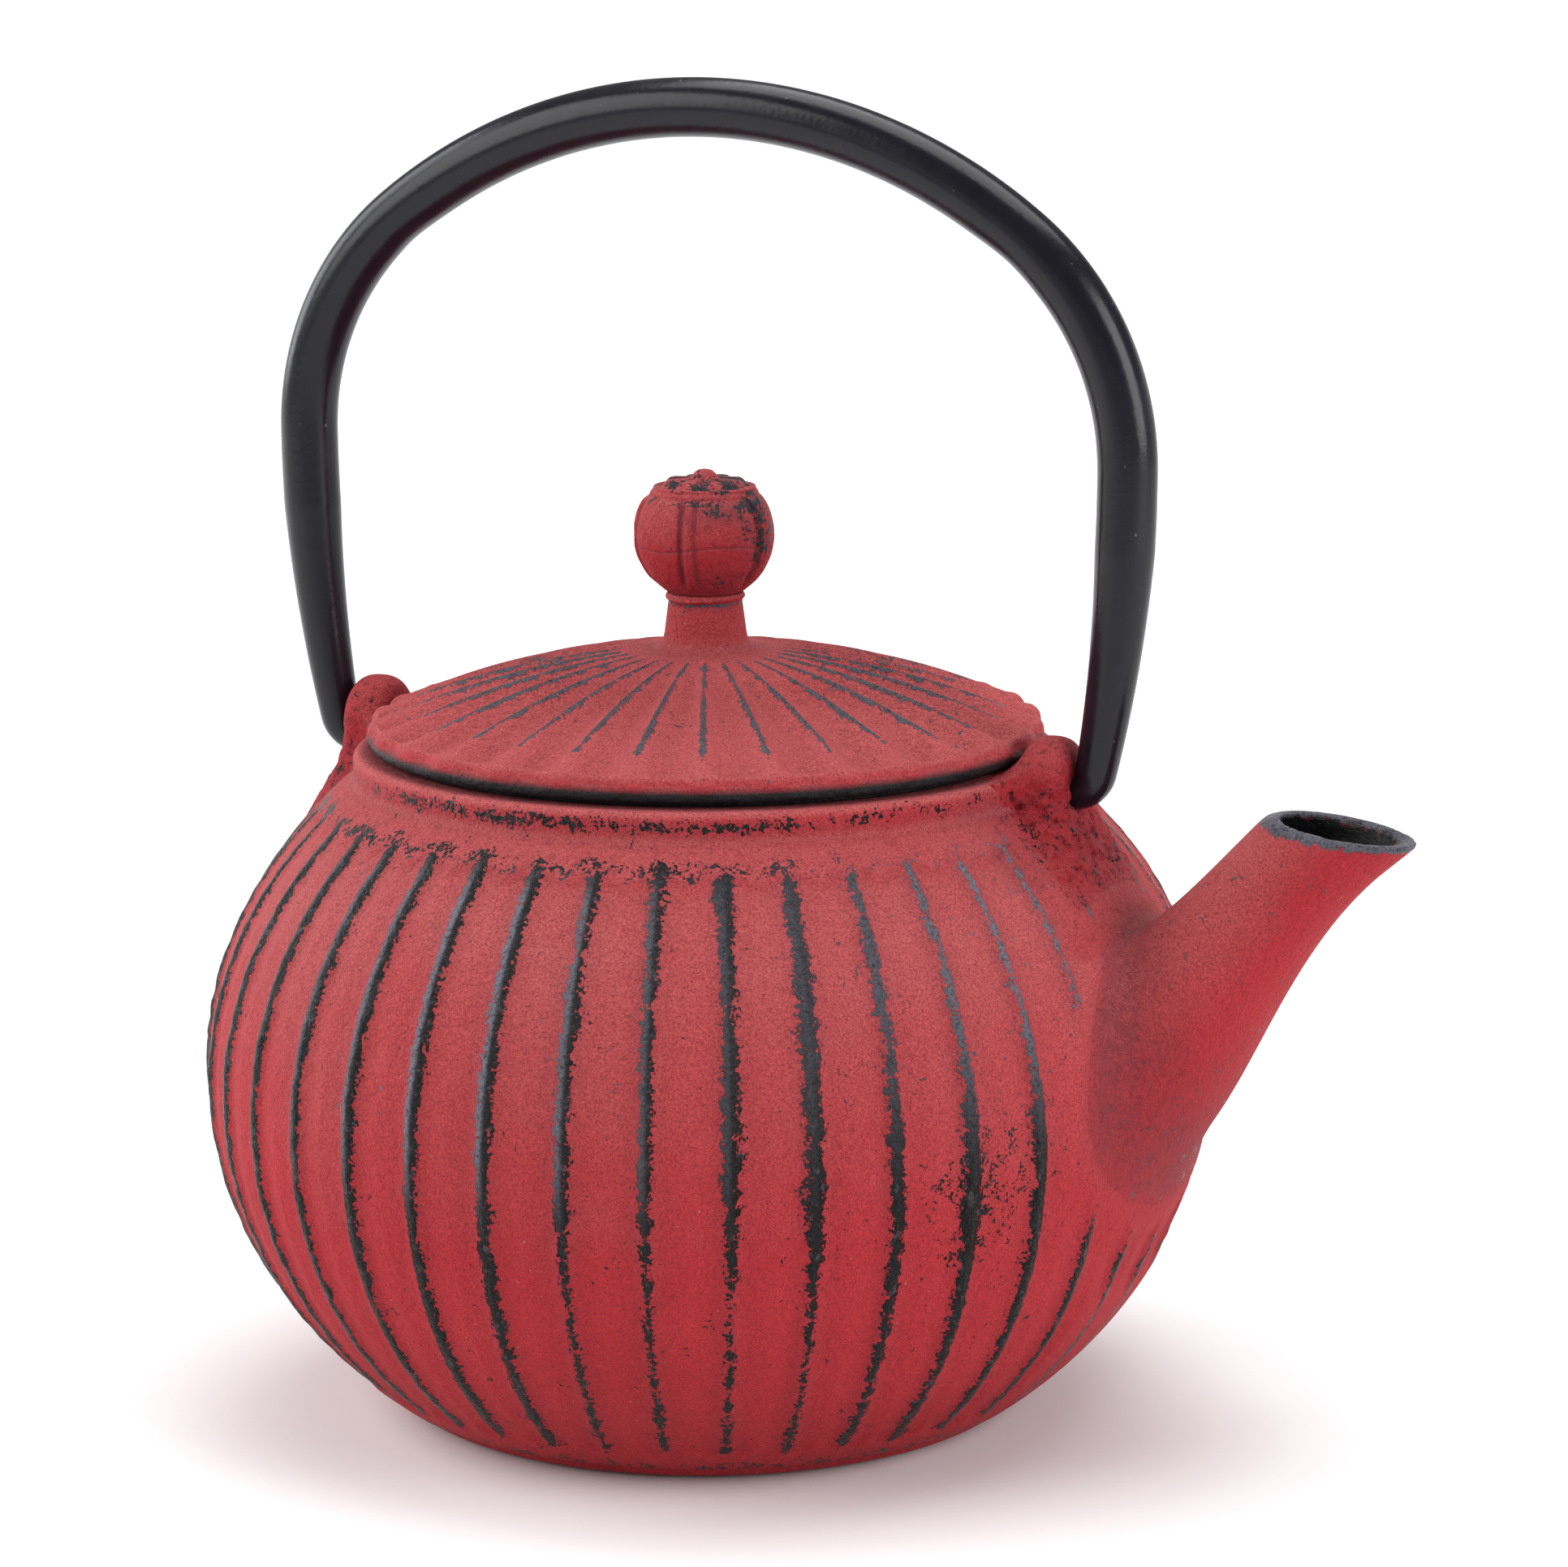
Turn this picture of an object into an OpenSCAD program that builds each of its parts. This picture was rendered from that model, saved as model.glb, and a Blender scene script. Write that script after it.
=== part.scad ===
// Cast iron teapot: one cast body with its spout and two lugs, a hollow steel bail handle,
// a domed lid with a riveted knob, and a lift-out steel infuser.
// Millimetres. The origin is the centre of the flat foot, +Z is up, +X points to the spout.

/* [Body] */
// Widest radius of the body
body_r = 80; // [78:0.5:82]
// Height of the widest ring above the table
belly_z = 54; // [52:0.5:56]
// Vertical half-axis of the ellipse below the widest ring
belly_low = 67.5; // [66:0.5:69]
// Vertical half-axis of the ellipse above the widest ring
belly_high = 65; // [64:0.5:66]
// Radius of the flat foot
foot_r = 46; // [44:0.5:47]
// Thickness of the cast wall
wall = 3.6; // [3:0.1:4.2]
// Thickness of the floor
floor_t = 5; // [4:0.5:7]

/* [Mouth] */
// Height of the flat seat that the lid rests on
seat_z = 105; // [105:0.5:106]
// Outer radius of the raised collar round the mouth
collar_r = 55.6; // [55.2:0.1:56]
// Clear radius of the mouth
mouth_r = 43; // [42.6:0.1:43.5]
// Radius of the recess that holds the infuser's flange
recess_r = 46.3; // [46.1:0.1:46.6]
// Depth of that recess
recess_depth = 3; // [2.5:0.1:3.5]

/* [Spout] */
// Outer radius of the spout at its tip
spout_tip_r = 9.1; // [8.8:0.1:9.5]
// How much wider the spout's root is than its tip, in height
spout_flare_z = 17.6; // [16:0.2:18]
// How much wider the spout's root is than its tip, across
spout_flare_y = 18.3; // [17:0.2:19]
// How quickly the flare dies away towards the tip
spout_flare_power = 2.4; // [2.2:0.1:2.6]
// Thickness of the spout's wall at its tip
spout_wall = 2.1; // [1.8:0.1:2.6]
// Forward tilt of the mouth of the spout, in degrees
spout_lip_tilt = 8; // [6:0.5:10]

/* [Lugs and handle] */
// Distance of each lug's middle from the pot's axis
lug_x = 58.3; // [58.2:0.1:58.4]
// Thickness of a lug along the handle's hinge line
lug_t = 6.2; // [6:0.1:6.4]
// Width of a lug
lug_w = 12.6; // [12:0.2:14]
// Height of the top of a lug
lug_top = 111.5; // [111:0.5:112]
// Height of the hinge line
hinge_z = 102; // [101.8:0.1:102.2]
// Radius of the hooks at the ends of the handle
hook_r = 2.4; // [2.3:0.05:2.5]
// Running clearance of a hook in its lug, on the radius
hook_fit = 0.08; // [0.05:0.01:0.1]
// Height of the top of the handle
handle_top = 209.5; // [208:0.5:211]
// Outer radius of the handle's tube
handle_r = 4.6; // [4.4:0.1:4.8]
// Thickness of the handle's sheet steel
handle_wall = 1; // [0.8:0.1:1.2]
// Centreline radius of the crown of the handle
crown_r = 86.5; // [84:0.5:89]
// Half-angle of the crown arc, in degrees
crown_half = 38; // [37:0.5:39]
// Centreline radius of the handle's shoulders
shoulder_r = 44; // [43:0.5:45]
// Centreline radius of the legs, which lean in towards the lugs
leg_r = 235; // [225:5:245]
// Centreline radius of the bend into each hook
hook_bend_r = 3.8; // [3.6:0.1:3.9]

/* [Lid and knob] */
// Outer radius of the lid
lid_r = 53.3; // [53:0.1:53.5]
// Height of the lid's top at the middle, under the neck
lid_top = 120.9; // [120:0.1:122]
// Height at which the dome would reach its own rim radius
lid_edge_z = 109.8; // [109.4:0.1:110.2]
// Thickness of the lid's dome
lid_t = 3.5; // [3:0.1:4]
// Outer radius of the skirt that centres the lid in the mouth
skirt_r = 40.8; // [40.4:0.1:40.9]
// How far the skirt reaches below the seat
skirt_depth = 7.4; // [6:0.2:8]
// Height of the top of the neck
neck_top = 129.5; // [129:0.1:130]
// Radius of the ball of the knob
knob_r = 10.8; // [10.6:0.1:11]
// Height of the middle of the ball
knob_z = 138.6; // [138.4:0.1:138.8]
// Number of raised ribs down the ball
knob_ribs = 5; // [4:1:8]
// Turn of the first of those ribs from the spout, in degrees
knob_rib_turn = -9.8; // [-36:0.2:36]
// Radius of the rivet that holds the knob
rivet_r = 2.4; // [2.2:0.1:2.5]

/* [Infuser] */
// Outer radius of the infuser's perforated wall
basket_r = 41.7; // [41.5:0.1:41.8]
// Height of the underside of the infuser
basket_low = 48; // [46:1:56]
// Thickness of the infuser's sheet steel
sheet = 0.5; // [0.4:0.1:0.6]
// Number of columns of holes in the wall
hole_columns = 24; // [16:2:32]
// Number of rows of holes in the wall
hole_rows = 5; // [3:1:6]
// Radius of a hole
hole_r = 1.3; // [1:0.1:1.6]

/* [Hidden] */
$fn = 96;
step = 4; // degrees between the points of an outline

// Body: two quarter ellipses that meet at the widest ring
collar_base_z = seat_z - 5;
function ellipse_point(a, b, t) = [a * cos(t), belly_z + b * sin(t)];
function belly_outline(inset, from_z, to_z) =
    let (low = belly_low - inset, high = belly_high - inset,
         t0 = asin((from_z - belly_z) / low), t1 = asin((to_z - belly_z) / high))
    concat([for (t = [t0:step:-1]) ellipse_point(body_r - inset, low, t)],
           [for (t = [0:step:t1 - 1]) ellipse_point(body_r - inset, high, t)],
           [ellipse_point(body_r - inset, high, t1)]);
ledge_z = seat_z - recess_depth;
mouth_low = ledge_z - 3.4;

// Spout: its centreline is a cubic curve in the XZ plane, from inside the belly to the lip
spout_path = [[58, 58], [77.3, 57.6], [87.8, 85], [105.7, 100.5]];
spout_rings = 18;
spout_sides = 40;
spout_overrun = 12;
lip_mid = [104.3, 99.8];
function curve(p, s) = pow(1 - s, 3) * p[0] + 3 * pow(1 - s, 2) * s * p[1]
    + 3 * (1 - s) * s * s * p[2] + pow(s, 3) * p[3];
function slope(p, s) = pow(1 - s, 2) * (p[1] - p[0]) + 2 * (1 - s) * s * (p[2] - p[1])
    + s * s * (p[3] - p[2]);
function unit(v) = v / norm(v);
function flare(s) = pow(1 - s, spout_flare_power);
// One ring of the spout, across the path at s, with its wall taken off by inset
function spout_ring(s, inset, ahead = 0) =
    let (d = unit(slope(spout_path, s)), c = curve(spout_path, s) + ahead * d,
         rz = spout_tip_r - inset + spout_flare_z * flare(s),
         ry = spout_tip_r - inset + spout_flare_y * flare(s))
    [for (i = [0:spout_sides - 1]) let (a = 360 * i / spout_sides)
        [c[0] - rz * cos(a) * d[1], ry * sin(a), c[1] + rz * cos(a) * d[0]]];

// Handle: centres of its arcs in the XZ plane, on the +X side
crown_c = [0, handle_top - handle_r - crown_r];
shoulder_c = crown_c + (crown_r - shoulder_r) * [sin(crown_half), cos(crown_half)];
leg_c = shoulder_c + [shoulder_r - leg_r, 0];
handle_sides = 16;
taper_start = 3; // degrees down the leg arc where the tube begins to narrow
bend_start_r = 3.2;
bend_end_r = hook_r + 0.2;
leg_end = asin((leg_c[1] - hinge_z - hook_bend_r) / (leg_r - hook_bend_r));
hook_c = leg_c + (leg_r - hook_bend_r) * [cos(leg_end), -sin(leg_end)];
pin_end = lug_x - lug_t / 2 + 0.3;
function leg_tube_r(a) = a < taper_start ? handle_r
    : handle_r - (handle_r - bend_start_r) * (a - taper_start) / (leg_end - taper_start);
function bend_tube_r(a) = bend_start_r
    - (bend_start_r - bend_end_r) * (a - leg_end) / (90 - leg_end);
// Stations down the +X half: centre x, centre z, angle of the section's outward radius, tube radius
function on_arc(c, r, a, tube) = [c[0] + r * cos(a), c[1] + r * sin(a), a, tube];
half_handle = concat(
    [for (a = [90:-5:90 - crown_half + 1]) on_arc(crown_c, crown_r, a, handle_r)],
    [for (a = [90 - crown_half:-8:1]) on_arc(shoulder_c, shoulder_r, a, handle_r)],
    [for (a = [0:-1.5:-taper_start]) on_arc(leg_c, leg_r, a, leg_tube_r(-a))],
    [for (a = [taper_start + 1:1.5:leg_end - 0.8]) on_arc(leg_c, leg_r, -a, leg_tube_r(a))],
    [for (a = [leg_end:(90 - leg_end) / 5:90.01]) on_arc(hook_c, hook_bend_r, -a, bend_tube_r(a))]);
function reversed(list) = [for (k = [len(list) - 1:-1:0]) list[k]];
// The -X half, without the station at the top that both halves share
function mirrored(list) = [for (k = [1:len(list) - 1]) let (p = list[k])
    [-p[0], p[1], 180 - p[2], p[3]]];
stations = concat(reversed(half_handle), mirrored(half_handle));

// Lid
lid_dome_r = 52.3;
lid_edge_r = 2.2;
lid_under = seat_z + 0.8;
boss_z = lid_top - lid_t - 0.6;
function dome_z(r) = lid_edge_z + (lid_top - lid_edge_z) * (1 - pow(r / lid_dome_r, 2));

// Knob and its rivet
cap_r = 6.4;
cap_z = knob_z + sqrt(pow(knob_r, 2) - pow(8.1, 2));
rivet_top = neck_top + 5;
washer_t = 1;

// Infuser
flange_t = 0.6;
flange_r = recess_r - 0.5;
rim_low = ledge_z - 9;
hole_low = basket_low + 7;
hole_high = rim_low - 4;

// A closed skin over a list of rings, each with the same number of points
module skin(rings) {
    n = len(rings[0]);
    last = len(rings) - 1;
    sides = [for (k = [0:last - 1], i = [0:n - 1])
        let (j = (i + 1) % n) [k * n + i, k * n + j, (k + 1) * n + j, (k + 1) * n + i]];
    ends = [[for (i = [n - 1:-1:0]) i], [for (i = [0:n - 1]) last * n + i]];
    polyhedron(points = [for (r = rings, p = r) p], faces = concat(sides, ends));
}

module spout_solid(inset) {
    skin(concat(
        [for (k = [0:spout_rings]) spout_ring(k / spout_rings, inset)],
        [spout_ring(1, inset, spout_overrun)]));
}

// Everything above the tilted plane of the spout's lip
module above_lip() {
    size = 40;
    translate([lip_mid[0], -size / 2, lip_mid[1]]) rotate([0, spout_lip_tilt, 0])
        translate([-size / 2, 0, 0]) cube([size, size, size]);
}

module lug(side) {
    arch_r = lug_w / 2;
    translate([side * lug_x - lug_t / 2, 0, 0]) rotate([90, 0, 90]) linear_extrude(lug_t) {
        translate([0, lug_top - arch_r]) circle(arch_r);
        polygon([[-arch_r, lug_top - arch_r], [arch_r, lug_top - arch_r], [arch_r, hinge_z - 3],
                 [arch_r + 3, 92], [-arch_r - 3, 92], [-arch_r, hinge_z - 3]]);
    }
}

module body() {
    color([0.72, 0.2, 0.22]) difference() {
        union() {
            rotate_extrude() polygon(concat(
                [[0, 0], [foot_r, 0], [foot_r + 3.4, 0.9]],
                belly_outline(0, 2.4, collar_base_z),
                [[collar_r, collar_base_z + 1.2], [collar_r, seat_z - 0.8],
                 [collar_r - 0.8, seat_z], [0, seat_z]]));
            difference() {
                spout_solid(0);
                above_lip();
            }
            for (side = [-1, 1]) lug(side);
        }
        rotate_extrude() polygon(concat(
            [[0, floor_t]],
            belly_outline(wall, floor_t, mouth_low),
            [[mouth_r, mouth_low], [mouth_r, ledge_z], [recess_r, ledge_z],
             [recess_r, seat_z + 1], [0, seat_z + 1]]));
        spout_solid(spout_wall);
        for (side = [-1, 1]) translate([side * lug_x, 0, hinge_z]) rotate([0, 90, 0])
            cylinder(h = lug_t + 1, r = hook_r + hook_fit, center = true);
    }
}

// The handle's tube from hook to hook; inset takes the sheet's thickness off
module handle_skin(inset, rings) {
    skin([for (p = rings) [for (i = [0:handle_sides - 1]) let (t = 360 * i / handle_sides,
        r = p[3] - inset) [p[0] + r * cos(t) * cos(p[2]), -r * sin(t), p[1] + r * cos(t) * sin(p[2])]]]);
}

// A hook's straight end, in its lug on the +X side
module hook_pin(radius, from_x, to_x) {
    translate([from_x, 0, hinge_z]) rotate([0, 90, 0]) cylinder(h = to_x - from_x, r = radius);
}

module handle() {
    color([0.09, 0.09, 0.11]) difference() {
        union() {
            handle_skin(0, stations);
            for (side = [0, 1]) mirror([side, 0, 0]) hook_pin(hook_r, pin_end, hook_c[0] + 1);
        }
        handle_skin(handle_wall, stations);
        for (side = [0, 1]) mirror([side, 0, 0])
            hook_pin(hook_r - handle_wall, pin_end - 1, hook_c[0] + 0.5);
    }
}

module lid() {
    rim_c = [lid_r - lid_edge_r, dome_z(lid_r - lid_edge_r) - lid_edge_r + 0.1];
    color([0.72, 0.2, 0.22]) difference() {
        rotate_extrude() polygon(concat(
            [[0, boss_z], [7, boss_z], [8, dome_z(8) - lid_t]],
            [for (r = [12:4:32]) [r, dome_z(r) - lid_t]],
            [[skirt_r - 3, dome_z(skirt_r - 3) - lid_t], [skirt_r - 3, seat_z - skirt_depth],
             [skirt_r, seat_z - skirt_depth], [skirt_r, seat_z], [51, seat_z], [51, lid_under],
             [lid_r - 0.8, lid_under], [lid_r, lid_under + 0.8]],
            [for (t = [0:15:75]) rim_c + lid_edge_r * [cos(t), sin(t)]],
            [for (r = [50:-3:8]) [r, dome_z(r)]],
            [[6.9, dome_z(6.9) + 0.6], [6.6, dome_z(6.6) + 1.8], [5.8, neck_top - 0.9],
             [6.1, neck_top - 0.5], [6.1, neck_top - 0.2], [5.8, neck_top], [0, neck_top]]));
        translate([0, 0, boss_z - 1]) cylinder(h = neck_top - boss_z + 2, r = rivet_r + 0.2);
    }
}

module knob() {
    color([0.66, 0.17, 0.19]) difference() {
        union() {
            difference() {
                translate([0, 0, knob_z]) {
                    sphere(knob_r);
                    for (i = [0:knob_ribs - 1]) rotate([0, 0, knob_rib_turn + 360 * i / knob_ribs])
                        intersection() {
                            sphere(knob_r + 0.3);
                            translate([0, -0.5, -7]) cube([2 * knob_r, 1, 13]);
                        }
                }
                translate([0, 0, cap_z + 5]) cube([30, 30, 10], center = true);
                translate([0, 0, neck_top - 5]) cube([30, 30, 10], center = true);
            }
            translate([0, 0, cap_z]) rotate_extrude() polygon(
                [[0, -1], [cap_r, -1], [cap_r, 0.9], [cap_r - 0.5, 1.4], [1.9, 1.7], [1.7, 2.3],
                 [1.1, 2.9], [0, 3.1]]);
        }
        translate([0, 0, neck_top - 1]) cylinder(h = rivet_top - neck_top + 1, r = rivet_r);
    }
}

module knob_rivet() {
    color([0.55, 0.55, 0.57]) {
        translate([0, 0, boss_z - washer_t]) cylinder(h = rivet_top - boss_z + washer_t, r = rivet_r);
        translate([0, 0, boss_z - washer_t]) rotate_extrude()
            polygon([[0, 0], [4.2, 0], [4, -0.8], [3, -1.6], [1.6, -2], [0, -2]]);
    }
}

module rivet_washer() {
    color([0.6, 0.6, 0.62]) translate([0, 0, boss_z - washer_t]) difference() {
        cylinder(h = washer_t, r = 6.2);
        translate([0, 0, -1]) cylinder(h = washer_t + 2, r = rivet_r + 0.1);
    }
}

module infuser_rim() {
    outer = basket_r + sheet;
    color([0.78, 0.79, 0.8]) rotate_extrude() polygon([
        [basket_r, rim_low], [outer, rim_low], [outer, ledge_z], [flange_r, ledge_z],
        [flange_r, ledge_z + flange_t], [basket_r, ledge_z + flange_t]]);
}

module infuser_wall() {
    height = ledge_z - 1 - basket_low - sheet;
    color([0.74, 0.75, 0.76]) difference() {
        translate([0, 0, basket_low + sheet]) difference() {
            cylinder(h = height, r = basket_r);
            translate([0, 0, -1]) cylinder(h = height + 2, r = basket_r - sheet);
        }
        for (row = [0:hole_rows - 1], i = [0:hole_columns - 1])
            rotate([0, 0, 360 * (i + (row % 2) / 2) / hole_columns])
                translate([basket_r, 0, hole_low + (hole_high - hole_low) * row / (hole_rows - 1)])
                    rotate([0, 90, 0]) cylinder(h = 4, r = hole_r, center = true);
    }
}

module infuser_base() {
    outer = basket_r + sheet;
    ring_pitch = 6.4;
    color([0.78, 0.79, 0.8]) difference() {
        rotate_extrude() polygon([
            [0, basket_low], [outer, basket_low], [outer, basket_low + 4],
            [basket_r, basket_low + 4], [basket_r, basket_low + sheet], [0, basket_low + sheet]]);
        translate([0, 0, basket_low - 1]) {
            cylinder(h = 3, r = hole_r);
            for (ring = [1:5], i = [0:6 * ring - 1]) rotate([0, 0, 60 * i / ring])
                translate([ring * ring_pitch, 0, 0]) cylinder(h = 3, r = hole_r);
        }
    }
}

body();
handle();
lid();
knob();
knob_rivet();
rivet_washer();
infuser_rim();
infuser_wall();
infuser_base();
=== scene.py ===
"""Looks of the cast iron teapot: a red fluted body and lid worn to black on their ridges,
a ball knob, a satin black tubular handle and a steel infuser, on a pale studio floor."""
import math

import bpy
import numpy as np
from mathutils import Matrix, Vector


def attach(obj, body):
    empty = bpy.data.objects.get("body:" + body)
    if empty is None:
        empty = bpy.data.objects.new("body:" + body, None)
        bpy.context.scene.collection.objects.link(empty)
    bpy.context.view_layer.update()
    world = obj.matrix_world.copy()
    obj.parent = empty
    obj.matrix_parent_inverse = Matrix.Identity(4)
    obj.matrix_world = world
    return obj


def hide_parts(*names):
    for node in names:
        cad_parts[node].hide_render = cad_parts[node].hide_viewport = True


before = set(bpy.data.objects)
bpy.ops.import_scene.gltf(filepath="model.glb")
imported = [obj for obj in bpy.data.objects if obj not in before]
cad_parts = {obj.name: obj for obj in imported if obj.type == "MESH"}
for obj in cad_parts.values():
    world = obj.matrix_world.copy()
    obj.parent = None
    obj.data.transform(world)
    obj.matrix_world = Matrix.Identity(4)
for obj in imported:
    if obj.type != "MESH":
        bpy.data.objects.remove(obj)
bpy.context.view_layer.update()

MM = 0.001
TURN = 2 * math.pi

# ---------------------------------------------------------------- driving sizes, millimetres
# body: a belly of two half ellipsoids on a flat foot, a collar with the lid's seat, a recess for the infuser
BODY_R, BELLY_Z, BELLY_LOW, BELLY_HIGH = 80.0, 54.0, 67.5, 65.0
FOOT_R, FOOT_TOP_Z, FLOOR_T, WALL = 46.0, 2.4, 5.0, 3.6
SEAT_Z, COLLAR_R, MOUTH_R, RECESS_R, RECESS_DEPTH, MOUTH_DEPTH = 105.0, 55.6, 43.0, 46.3, 3.0, 3.4
COLLAR_BASE_Z, LEDGE_Z = SEAT_Z - 5, SEAT_Z - RECESS_DEPTH
RIBS, FLUTE_TOP_Z, FLUTE_LOW_Z = 40, 98.2, 6.8
RIB_HEIGHT, RIB_HALF, FLUTE_SAG = 0.8, 1.45, 0.45
AXIS_R = 0.4  # radius of the small flat that closes a turned surface on its axis

# spout: control points (x, z) of its centreline, and how its section grows towards the root
SPOUT_PATH = np.array([[58, 58], [77.3, 57.6], [87.8, 85], [105.7, 100.5]])
SPOUT_TIP_R, SPOUT_FLARE_Z, SPOUT_FLARE_Y, SPOUT_POWER_Z, SPOUT_POWER_Y = 9.1, 17.6, 30.0, 2.4, 2.0
SPOUT_WALL, SPOUT_START_X, SPOUT_FILLET = 2.1, 25, 3.8
LIP_MID, LIP_TILT = np.array([104.3, 0, 99.8]), math.radians(8)
SUNK = 0.03  # how far the spout's skirt lies under the belly's skin

# lugs: the one at the spout is cast lower and rougher, so each has its own values (side +1 is the spout's)
LUG_X, LUG_T, LUG_W, LUG_TOP, HINGE_Z, HOOK_R, HOOK_FIT = 58.3, 6.2, 12.6, 111.5, 102.0, 2.4, 0.08
LUG_LOWER, LUG_ROUGH = {1: 1.5, -1: -0.3}, {1: 1.0, -1: 0.35}

# box round the spout, and mesh steps of the spout and the lugs, which are made from distance fields
SPOUT_BOX, SPOUT_STEP, LUG_STEP = ((58, -50, 26), (118, 50, 106)), 0.9, 0.45

# handle: crown, shoulder and leg arcs, then a small bend into the hook
HANDLE_TOP, HANDLE_R, CROWN_R, CROWN_HALF = 209.5, 4.6, 86.5, 38.0
SHOULDER_R, LEG_R, HOOK_BEND_R = 44.0, 235.0, 3.8
LEG_END_R, TAPER_START, TUBE_SIDES = 3.2, math.radians(3), 48

# lid and knob
LID_R, LID_TOP, LID_EDGE_Z, LID_DOME_R, LID_T, LID_EDGE_R = 53.3, 120.9, 109.8, 52.3, 3.5, 2.2
LID_RIDGES, LID_RIDGE_TURN, LID_FOLD = 30, math.radians(6), 2.35
SKIRT_R, SKIRT_DEPTH, SKIRT_T, NECK_TOP, BORE_R = 40.8, 7.4, 3, 129.5, 2.6
KNOB_R, KNOB_Z, KNOB_CAP_R, KNOB_RIBS, KNOB_RIB_TURN = 10.8, 138.6, 8.1, 5, math.radians(-9.8)
CAP_PETALS = 8

# bearings of the stretches that are worn, kept clean or given a painted sheen, in degrees round from the
# spout
LEFT, FRONT_LEFT, FRONT, FRONT_RIGHT, SPOUT_SHOULDER, BACK = 222, 262, 294, 327, 338, 100
KNOB_LOW, KNOB_UPPER, KNOB_SIDE = 316, 320, 350
WORN_AT = 0.51  # the value of the attribute wear at which half of the red is gone


# ---------------------------------------------------------------- small helpers
def smooth(low, high, x):
    """Share from 0 at low to 1 at high, with soft ends."""
    t = np.clip((x - low) / (high - low), 0, 1)
    return t * t * (3 - 2 * t)


def hump(x, middle, width):
    """Bell-shaped share of how near x is to the middle."""
    return np.exp(-((x - middle) / width) ** 2)


def facing(theta, degrees, spread):
    """Bell-shaped share of how near each angle is to a direction; spread in radians."""
    return np.exp(-((((theta - math.radians(degrees)) + math.pi) % TURN - math.pi) / spread) ** 2)


def smin(a, b, k):
    """Union of two distance fields with a fillet of about k."""
    h = np.clip(0.5 + 0.5 * (b - a) / k, 0, 1)
    return b * (1 - h) + a * h - k * h * (1 - h)


def smax(a, b, k):
    """Common part of two distance fields, with its edge rounded by about k."""
    return -smin(-a, -b, k)


LATTICE_SIZE = 32
LATTICE = np.random.default_rng(7).random((LATTICE_SIZE,) * 3)


def noise(p, size):
    """Smooth value noise from 0 to 1 at points p, with blobs about size mm across."""
    q = np.asarray(p) / size + 100.37  # the offset keeps every coordinate positive
    i = np.floor(q).astype(int)
    f = q - i
    f = f * f * (3 - 2 * f)
    total = 0
    for corner in np.ndindex(2, 2, 2):
        x, y, z = (f[..., k] if corner[k] else 1 - f[..., k] for k in range(3))
        total = total + x * y * z * LATTICE[tuple((i[..., k] + corner[k]) % LATTICE_SIZE for k in range(3))]
    return total


def rounded(points, radii, arc_points=5):
    """The outline with each corner rounded by its own radius."""
    out = []
    for k, p in enumerate(points):
        p = np.array(p, float)
        if radii[k] == 0 or k in (0, len(points) - 1):
            out.append(p)
            continue
        a, b = np.array(points[k - 1], float) - p, np.array(points[k + 1], float) - p
        r = min(radii[k], np.linalg.norm(a) * 0.45, np.linalg.norm(b) * 0.45)
        a, b = p + a / np.linalg.norm(a) * r, p + b / np.linalg.norm(b) * r
        out += [(1 - t) ** 2 * a + 2 * t * (1 - t) * p + t * t * b for t in np.linspace(0, 1, arc_points)]
    return np.array(out)


def spaced(points, gap):
    """The outline with extra points, so that none are further apart than gap."""
    out = [points[0]]
    for a, b in zip(points[:-1], points[1:]):
        n = max(1, int(math.ceil(np.linalg.norm(b - a) / gap)))
        out += [a + (b - a) * i / n for i in range(1, n + 1)]
    return np.array(out)


def piece(name, parts, material, body, nodes):
    """One mesh from parts (points in mm, faces, attributes), riding on a body in place of CAD nodes."""
    points, faces, first, values = [], [], 0, {}
    keys = sorted({k for _, _, attributes in parts for k in attributes})
    for grid, part_faces, attributes in parts:
        points.append(grid.reshape(-1, 3))
        faces += [[i + first for i in face] for face in part_faces]
        first += len(points[-1])
        for k in keys:
            values.setdefault(k, []).append(np.broadcast_to(attributes.get(k, 0.0), grid.shape[:-1]).ravel())
    mesh = bpy.data.meshes.new(name)
    mesh.from_pydata((np.concatenate(points) * MM).tolist(), [], faces)
    mesh.shade_smooth()
    for k in keys:
        layer = mesh.attributes.new(k, "FLOAT", "POINT")
        layer.data.foreach_set("value", np.concatenate(values[k]).astype(np.float32))
    mesh.materials.append(material)
    mesh.update()
    obj = bpy.data.objects.new(name, mesh)
    bpy.context.scene.collection.objects.link(obj)
    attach(obj, body)
    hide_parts(*nodes)


def tube_faces(rows, columns, closed=False):
    """Quads between rings of points; closed joins the last ring to the first."""
    k, i = np.meshgrid(np.arange(rows if closed else rows - 1), np.arange(columns), indexing="ij")
    j, m = (i + 1) % columns, (k + 1) % rows
    return np.stack([k * columns + i, k * columns + j, m * columns + j, m * columns + i], -1).reshape(-1, 4)


def end_faces(rows, columns):
    """The faces that close the first and the last ring."""
    last = (rows - 1) * columns
    return [list(range(columns))[::-1], list(range(last, last + columns))]


def even(columns):
    """Angles spread evenly round a full turn."""
    return np.arange(columns) * TURN / columns


def polar(outline, angles):
    """Radius, height and angle of every point of a turned outline, as rows by columns."""
    shape = len(outline), len(angles)
    return [np.broadcast_to(v, shape) for v in (outline[:, :1], outline[:, 1:2], angles)]


def turned(r, z, theta):
    """Points of a turned surface, as a grid of rows by columns by 3."""
    return np.stack([r * np.cos(theta), r * np.sin(theta), z], -1)


def from_ridge(theta, r, count, turn=0.0):
    """How far round each point is from the nearest of count ridges: as a share of one, and in mm."""
    across = ((theta - turn) * count / TURN + 0.5) % 1 - 0.5
    return across, across * TURN / count * r


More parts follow.
